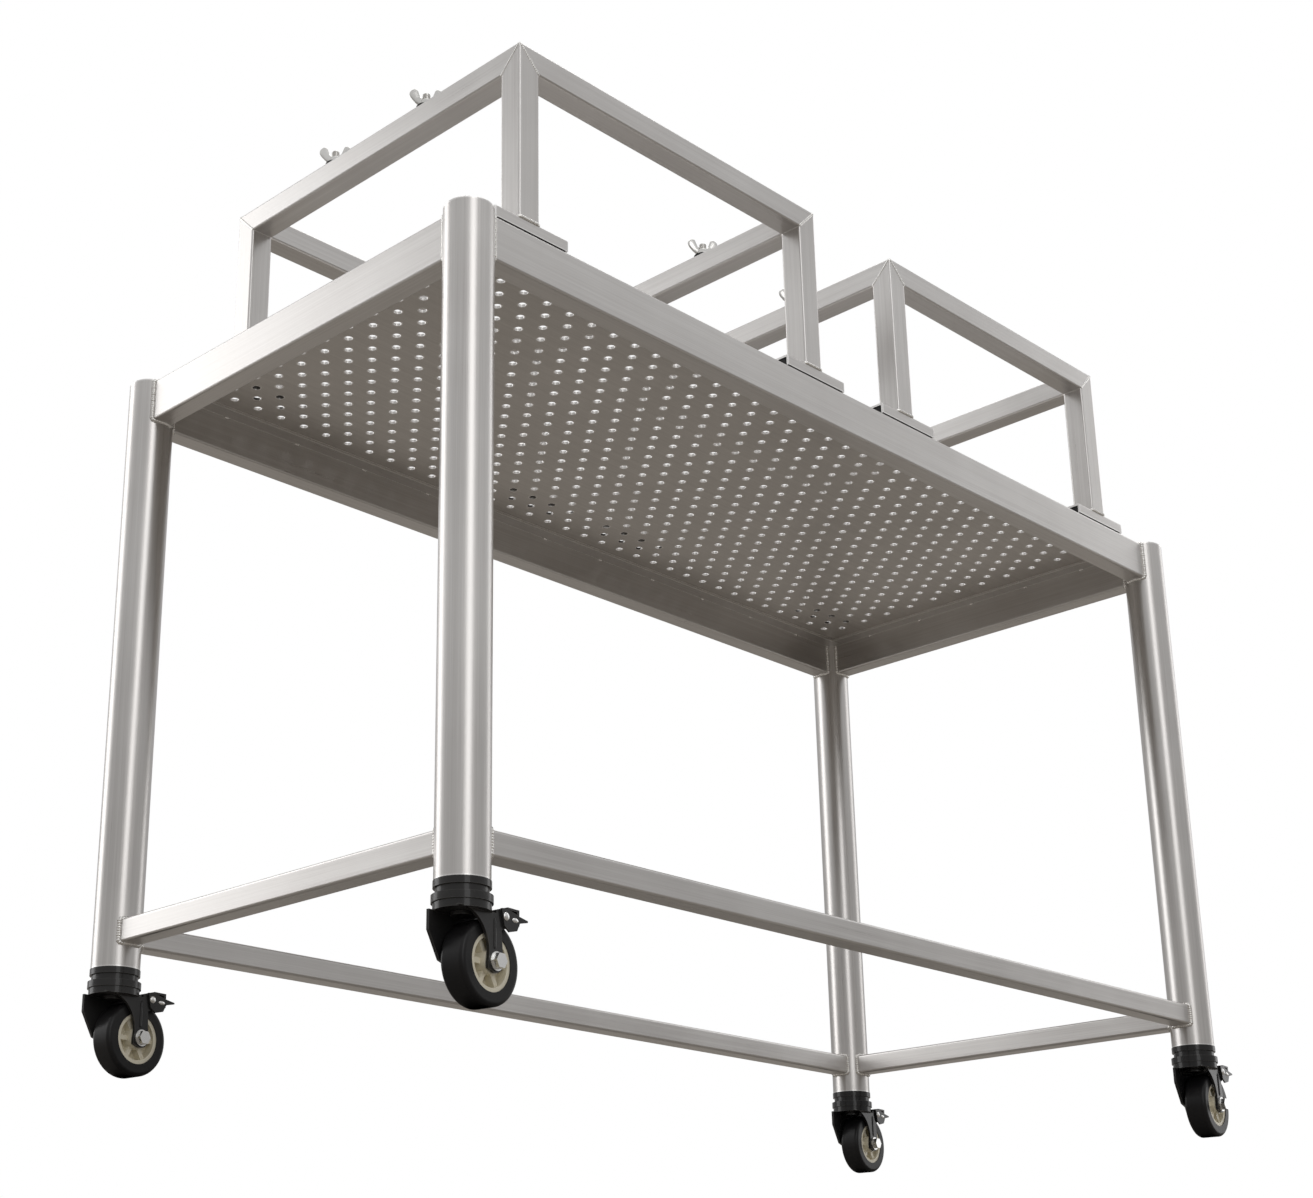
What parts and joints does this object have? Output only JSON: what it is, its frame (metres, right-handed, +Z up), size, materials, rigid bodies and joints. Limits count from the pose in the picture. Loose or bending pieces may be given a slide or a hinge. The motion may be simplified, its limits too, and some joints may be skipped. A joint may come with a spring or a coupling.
{
  "type": "mobile work platform",
  "caption": "Wheeled stainless work platform: perforated deck on round tube legs with braked swivel casters and two removable box frames with wing nuts.",
  "frame": {"origin": "on the floor, midway between the four legs", "axes": "+X along the deck towards its right end, +Y towards its back, +Z up"},
  "size_m": [1.3247, 0.5887, 1.0233],
  "materials": {
    "leg_steel": "satin brushed stainless steel tube, grain along the tube",
    "rail_steel": "satin brushed stainless steel, grain along the tube, welded and brushed ends",
    "box_steel": "satin brushed stainless steel square tube with dressed mitre welds",
    "deck_steel": "perforated stainless sheet, mill finish",
    "fastener_steel": "cast stainless wing nut and stud, tumbled",
    "caster_black": "black powder-coated pressed steel",
    "tyre": "black polyurethane tread, satin",
    "wheel_hub": "cream nylon moulding",
    "zinc_bolt": "bright zinc plated bolt, washers and nut",
    "rubber": "black rubber"
  },
  "bodies": {
    "platform": {"leg_front_left": "leg_steel", "leg_front_right": "leg_steel", "leg_back_left": "leg_steel", "leg_back_right": "leg_steel", "rail_front": "rail_steel", "rail_back": "rail_steel", "rail_left": "rail_steel", "rail_right": "rail_steel", "deck_sheet": "deck_steel", "deck_ledge": "rail_steel", "stretcher_front": "rail_steel", "stretcher_back": "rail_steel", "stretcher_left": "rail_steel", "stretcher_right": "rail_steel", "leg_inserts": "rail_steel", "caster_stems": "caster_black"},
    "caster_front_left": {"fork_front_left": "caster_black", "axle_front_left": "zinc_bolt"},
    "wheel_front_left": {"hub_front_left": "wheel_hub", "tyre_front_left": "tyre"},
    "brake_lever_front_left": {"brake_front_left": "caster_black"},
    "caster_front_right": {"fork_front_right": "caster_black", "axle_front_right": "zinc_bolt"},
    "wheel_front_right": {"hub_front_right": "wheel_hub", "tyre_front_right": "tyre"},
    "brake_lever_front_right": {"brake_front_right": "caster_black"},
    "caster_back_left": {"fork_back_left": "caster_black", "axle_back_left": "zinc_bolt"},
    "wheel_back_left": {"hub_back_left": "wheel_hub", "tyre_back_left": "tyre"},
    "brake_lever_back_left": {"brake_back_left": "caster_black"},
    "caster_back_right": {"fork_back_right": "caster_black", "axle_back_right": "zinc_bolt"},
    "wheel_back_right": {"hub_back_right": "wheel_hub", "tyre_back_right": "tyre"},
    "brake_lever_back_right": {"brake_back_right": "caster_black"},
    "box_frame_a": {"box_a_front": "box_steel", "box_a_back": "box_steel", "box_a_left": "box_steel", "box_a_right": "box_steel", "box_a_posts": "box_steel", "box_a_feet": "box_steel", "box_a_pads": "rubber", "box_a_studs": "fastener_steel", "box_a_washers": "rubber"},
    "wing_nut_a1_body": {"wing_nut_a1": "fastener_steel"},
    "wing_nut_a2_body": {"wing_nut_a2": "fastener_steel"},
    "wing_nut_a3_body": {"wing_nut_a3": "fastener_steel"},
    "wing_nut_a4_body": {"wing_nut_a4": "fastener_steel"},
    "box_frame_b": {"box_b_front": "box_steel", "box_b_back": "box_steel", "box_b_left": "box_steel", "box_b_right": "box_steel", "box_b_posts": "box_steel", "box_b_feet": "box_steel", "box_b_pads": "rubber", "box_b_studs": "fastener_steel", "box_b_washers": "rubber"},
    "wing_nut_b1_body": {"wing_nut_b1": "fastener_steel"},
    "wing_nut_b2_body": {"wing_nut_b2": "fastener_steel"}
  },
  "joints": [
    {"name": "swivel_front_left", "type": "hinge", "parent": "platform", "child": "caster_front_left", "pos_m": [-0.615, -0.266, 0.092], "axis": [0, 0, 1], "continuous": true},
    {"name": "spin_front_left", "type": "hinge", "parent": "caster_front_left", "child": "wheel_front_left", "pos_m": [-0.59118, -0.26308, 0.0385], "axis": [-0.1219, 0.9925, 0], "continuous": true},
    {"name": "brake_front_left", "type": "hinge", "parent": "caster_front_left", "child": "brake_lever_front_left", "pos_m": [-0.58026, -0.26173, 0.0795], "axis": [-0.1219, 0.9925, 0], "range_deg": [0, 12]},
    {"name": "swivel_front_right", "type": "hinge", "parent": "platform", "child": "caster_front_right", "pos_m": [0.615, -0.266, 0.092], "axis": [0, 0, 1], "continuous": true},
    {"name": "spin_front_right", "type": "hinge", "parent": "caster_front_right", "child": "wheel_front_right", "pos_m": [0.63882, -0.26308, 0.0385], "axis": [-0.1219, 0.9925, 0], "continuous": true},
    {"name": "brake_front_right", "type": "hinge", "parent": "caster_front_right", "child": "brake_lever_front_right", "pos_m": [0.64974, -0.26173, 0.0795], "axis": [-0.1219, 0.9925, 0], "range_deg": [0, 12]},
    {"name": "swivel_back_left", "type": "hinge", "parent": "platform", "child": "caster_back_left", "pos_m": [-0.615, 0.266, 0.092], "axis": [0, 0, 1], "continuous": true},
    {"name": "spin_back_left", "type": "hinge", "parent": "caster_back_left", "child": "wheel_back_left", "pos_m": [-0.59118, 0.26893, 0.0385], "axis": [-0.1219, 0.9925, 0], "continuous": true},
    {"name": "brake_back_left", "type": "hinge", "parent": "caster_back_left", "child": "brake_lever_back_left", "pos_m": [-0.58026, 0.27026, 0.0795], "axis": [-0.1219, 0.9925, 0], "range_deg": [0, 12]},
    {"name": "swivel_back_right", "type": "hinge", "parent": "platform", "child": "caster_back_right", "pos_m": [0.615, 0.266, 0.092], "axis": [0, 0, 1], "continuous": true},
    {"name": "spin_back_right", "type": "hinge", "parent": "caster_back_right", "child": "wheel_back_right", "pos_m": [0.63882, 0.26893, 0.0385], "axis": [-0.1219, 0.9925, 0], "continuous": true},
    {"name": "brake_back_right", "type": "hinge", "parent": "caster_back_right", "child": "brake_lever_back_right", "pos_m": [0.64974, 0.27026, 0.0795], "axis": [-0.1219, 0.9925, 0], "range_deg": [0, 12]},
    {"name": "lift_box_a", "type": "slide", "parent": "platform", "child": "box_frame_a", "axis": [0, 0, 1], "range_m": [0, 0.3]},
    {"name": "turn_wing_nut_a1", "type": "hinge", "parent": "box_frame_a", "child": "wing_nut_a1_body", "pos_m": [-0.542, -0.11603, 1.004], "axis": [0, 0, 1], "continuous": true},
    {"name": "turn_wing_nut_a2", "type": "hinge", "parent": "box_frame_a", "child": "wing_nut_a2_body", "pos_m": [-0.542, 0.03797, 1.004], "axis": [0, 0, 1], "continuous": true},
    {"name": "turn_wing_nut_a3", "type": "hinge", "parent": "box_frame_a", "child": "wing_nut_a3_body", "pos_m": [-0.09399, -0.11603, 1.004], "axis": [0, 0, 1], "continuous": true},
    {"name": "turn_wing_nut_a4", "type": "hinge", "parent": "box_frame_a", "child": "wing_nut_a4_body", "pos_m": [-0.09399, 0.03797, 1.004], "axis": [0, 0, 1], "continuous": true},
    {"name": "lift_box_b", "type": "slide", "parent": "platform", "child": "box_frame_b", "axis": [0, 0, 1], "range_m": [0, 0.3]},
    {"name": "turn_wing_nut_b1", "type": "hinge", "parent": "box_frame_b", "child": "wing_nut_b1_body", "pos_m": [0.07874, -0.11603, 1.004], "axis": [0, 0, 1], "continuous": true},
    {"name": "turn_wing_nut_b2", "type": "hinge", "parent": "box_frame_b", "child": "wing_nut_b2_body", "pos_m": [0.07874, 0.03797, 1.004], "axis": [0, 0, 1], "continuous": true}
  ]
}
